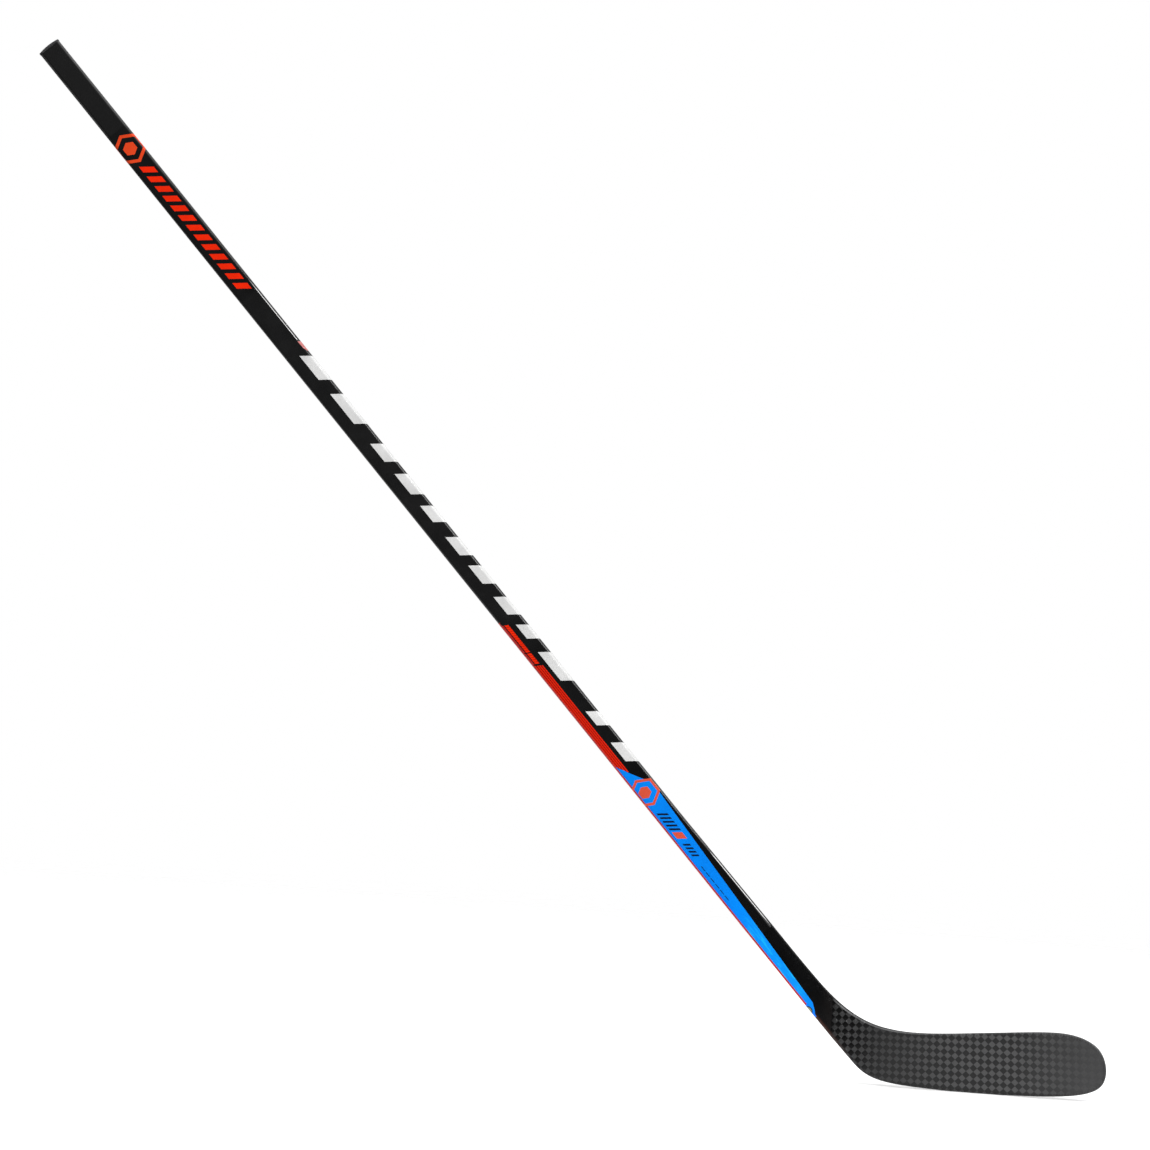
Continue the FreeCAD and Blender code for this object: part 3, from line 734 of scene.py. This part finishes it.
for side, back in (("front", False), ("back", True)):
    # six-sided badge: a plain ring round a plain six-sided middle
    film("badge_ring_" + side, [[hexa(151.0, -0.6, 19.4), hexa(151.0, -0.6, 15.2)]], orange, "shaft_carbon", back=back)
    film("badge_middle_" + side, [[hexa(151.0, -0.6, 8.4)]], orange, "shaft_carbon", back=back)
    # row of slanted bars
    bars = [bar(173.5 + 14.3 * i, 173.5 + 14.3 * i + 8.3, -6.0, 7.6) for i in range(13)]
    film("slant_bars_" + side, bars, red, "shaft_carbon", back=back)
    # red panel: two bars, then a long panel of fine ribs that runs to a point
    film("red_bars_" + side, [bar(848.0 + 3.1 * i, 850.7 + 3.1 * i, -9.3, -5.2, 0.6) for i in range(13)] +
         [bar(889.6 + 3.1 * i, 892.3 + 3.1 * i, -9.3, -5.2, 0.6) for i in range(5)],
         red, "shaft_carbon", back=back)
    film("red_underline_" + side, [bar(846.5, 886.8, EDGE_N, -10.3, 0.6), bar(888.0, 904.0, EDGE_N, -10.3, 0.6)],
         side_red, "shaft_carbon", back=back)
    # white hairlines on the front corner
    film("hairline_upper_" + side,
         [[loop_n([(354.0, 11.15), (368.0, 10.82), (442.0, 10.82), (443.0, 11.54), (368.0, 11.54)])]],
         white, "shaft_carbon", back=back)
    low = [(1198.0, 0.0)] + [(1206.0 + 8.0 * i, 0.44) for i in range(12)] + [(1308.0, 0.0)]
    nf = [section(s)[1] - 1.85 for s, h in low]
    film("hairline_lower_" + side,
         [[[(s, v_of(s, c + h)) for (s, h), c in zip(low, nf)] +
           [(s, v_of(s, c - h)) for (s, h), c in list(zip(low, nf))[-2:0:-1]]]],
         white, "shaft_carbon", back=back)
    film("red_panel_" + side,
         [[loop_n([(905.5, EDGE_N), (1053.4, EDGE_N), (1068.2, -4.4), (1068.8, -3.2), (911.5, -3.2)])]],
         panel_red, "shaft_carbon", back=back)
    # blue panel down to the heel
    film("blue_panel_" + side,
         [[loop_n([(1054.0, EDGE_N), (1423.5, EDGE_N), (1408.0, -4.8), (1095.6, 10.3),
                   (1083.0, 3.3), (1070.2, -3.8)])]], blue, "shaft_carbon", back=back)
    on = dict(lift=0.12, sink=0.0, back=back)
    film("badge_low_ring_" + side, [[hexa(1099.0, -3.8, 18.0), hexa(1099.0, -3.8, 14.6)]],
         coral, "shaft_carbon", **on)
    film("badge_low_middle_" + side, [[hexa(1099.0, -3.8, 7.6)]], coral, "shaft_carbon", **on)
    # plain marks on the blue: a row of bars, a block, a short row, a hairline
    film("mark_bars_" + side, [bar(1126.0 + 5.5 * i, 1126.0 + 5.5 * i + 2.7, -8.6, 1.6) for i in range(5)],
         navy, "shaft_carbon", **on)
    film("mark_block_" + side, [bar(1154.0, 1163.5, -8.2, 1.0)], coral, "shaft_carbon", **on)
    film("mark_row_" + side, [bar(1172.0 + 5.2 * i, 1172.0 + 5.2 * i + 2.6, -7.2, -0.4) for i in range(4)],
         navy, "shaft_carbon", **on)
    film("mark_line_" + side, [bar(1205.5 + 8.6 * i, 1205.5 + 8.6 * i + 6.9, -6.9, -6.0) for i in range(6)],
         navy, "shaft_carbon", **on)

# ------------------------------------------------------------------ stage, light, camera
sc = bpy.context.scene
sc.view_settings.view_transform = "Standard"
sc.view_settings.look = "None"


def floor_disc(name, centre, radius, fade):
    me = bpy.data.meshes.new(name)
    ring = [(centre.x + radius * math.cos(a * math.pi / 48), centre.y + radius * math.sin(a * math.pi / 48), centre.z)
            for a in range(96)]
    me.from_pydata(ring, [], [list(range(96))])
    o = bpy.data.objects.new(name, me)
    sc.collection.objects.link(o)
    m = Nodes("pale_" + name)
    m.set(Base_Color=(0.90, 0.90, 0.90), Roughness=0.9, Specular_IOR_Level=0.1)
    away = m.new("ShaderNodeVectorMath", operation="DISTANCE")
    m.link(m.obj(), away.inputs[0])
    away.inputs[1].default_value = centre
    m.set(Alpha=m.smooth(away.outputs["Value"], radius * fade, radius * 0.98, 1.0, 0.0))
    me.materials.append(m.m)
    return o


# the wide floor is there to be seen and takes the shadow; a smaller one just under it lights the stick from below
seen_floor = floor_disc("floor", Vector((-0.4, 0.4, 0.0)), 5.6, 0.60)
seen_floor.visible_diffuse = seen_floor.visible_glossy = False
seen_floor.visible_transmission = seen_floor.visible_shadow = False
floor_disc("floor_bounce", Vector((-0.5, 1.35, -0.002)), 2.4, 0.55).visible_camera = False

world = bpy.data.worlds.new("studio")
sc.world = world
world.use_nodes = True
wt = world.node_tree
for n in list(wt.nodes):
    wt.nodes.remove(n)
out = wt.nodes.new("ShaderNodeOutputWorld")
tc = wt.nodes.new("ShaderNodeTexCoord")
sep = wt.nodes.new("ShaderNodeSeparateXYZ")
wt.links.new(tc.outputs["Generated"], sep.inputs[0])
rmp = wt.nodes.new("ShaderNodeMapRange")
rmp.interpolation_type = "SMOOTHSTEP"
wt.links.new(sep.outputs[2], rmp.inputs[0])
for i, v in ((1, 0.05), (2, 0.80), (3, 0.08), (4, 1.7)):
    rmp.inputs[i].default_value = v
dome = wt.nodes.new("ShaderNodeBackground")
wt.links.new(rmp.outputs[0], dome.inputs["Strength"])
# the backdrop is white behind the forehand view and falls to a pale grey round the sides
wall = wt.nodes.new("ShaderNodeMapRange")
wall.interpolation_type = "SMOOTHSTEP"
wt.links.new(sep.outputs[1], wall.inputs[0])
for i, v in ((1, 0.0), (2, 0.90), (3, 0.88), (4, 1.0)):
    wall.inputs[i].default_value = v
seen = wt.nodes.new("ShaderNodeBackground")
seen.inputs["Color"].default_value = (1.0, 1.0, 1.0, 1.0)
wt.links.new(wall.outputs[0], seen.inputs["Strength"])
lp = wt.nodes.new("ShaderNodeLightPath")
mx = wt.nodes.new("ShaderNodeMixShader")
wt.links.new(lp.outputs["Is Camera Ray"], mx.inputs[0])
wt.links.new(dome.outputs[0], mx.inputs[1])
wt.links.new(seen.outputs[0], mx.inputs[2])
wt.links.new(mx.outputs[0], out.inputs[0])


def area(name, loc, target, size, size_y, power, col=(1, 1, 1)):
    d = bpy.data.lights.new(name, "AREA")
    d.shape = "RECTANGLE"
    d.size, d.size_y = size, size_y
    d.energy = power
    d.color = col
    o = bpy.data.objects.new(name, d)
    o.location = loc
    o.rotation_mode = "QUATERNION"
    o.rotation_quaternion = (Vector(target) - Vector(loc)).to_track_quat("-Z", "Y")
    sc.collection.objects.link(o)
    return o


area("key", (-2.6, -3.0, 2.9), (-0.4, 0, 0.45), 2.2, 2.2, 60)
area("edge", (1.6, -2.0, 2.6), (-0.3, 0, 0.35), 1.0, 1.0, 54)
area("rim", (-1.8, 2.8, 2.2), (-0.4, 0, 0.5), 2.4, 1.6, 40)

cam_d = bpy.data.cameras.new("camera")
cam_d.lens = 300.0
cam_d.sensor_width = 36.0
cam_d.sensor_fit = "HORIZONTAL"
cam_d.clip_start, cam_d.clip_end = 0.1, 200.0
cam = bpy.data.objects.new("camera", cam_d)
sc.collection.objects.link(cam)
sc.camera = cam
TILT = math.radians(4.17)
right = Vector((math.cos(TILT), 0, math.sin(TILT)))
up = Vector((-math.sin(TILT), 0, math.cos(TILT)))
view = Vector((0, 1, 0))
face_y = SHAFT_Y * MM - 0.0065
WIDE = 1.322796
dist = WIDE * cam_d.lens / cam_d.sensor_width
centre = Vector((-0.502808, face_y, 0.561103))
rot = Matrix((right, up, -view)).transposed()
cam.matrix_world = Matrix.Translation(centre - view * dist) @ rot.to_4x4()
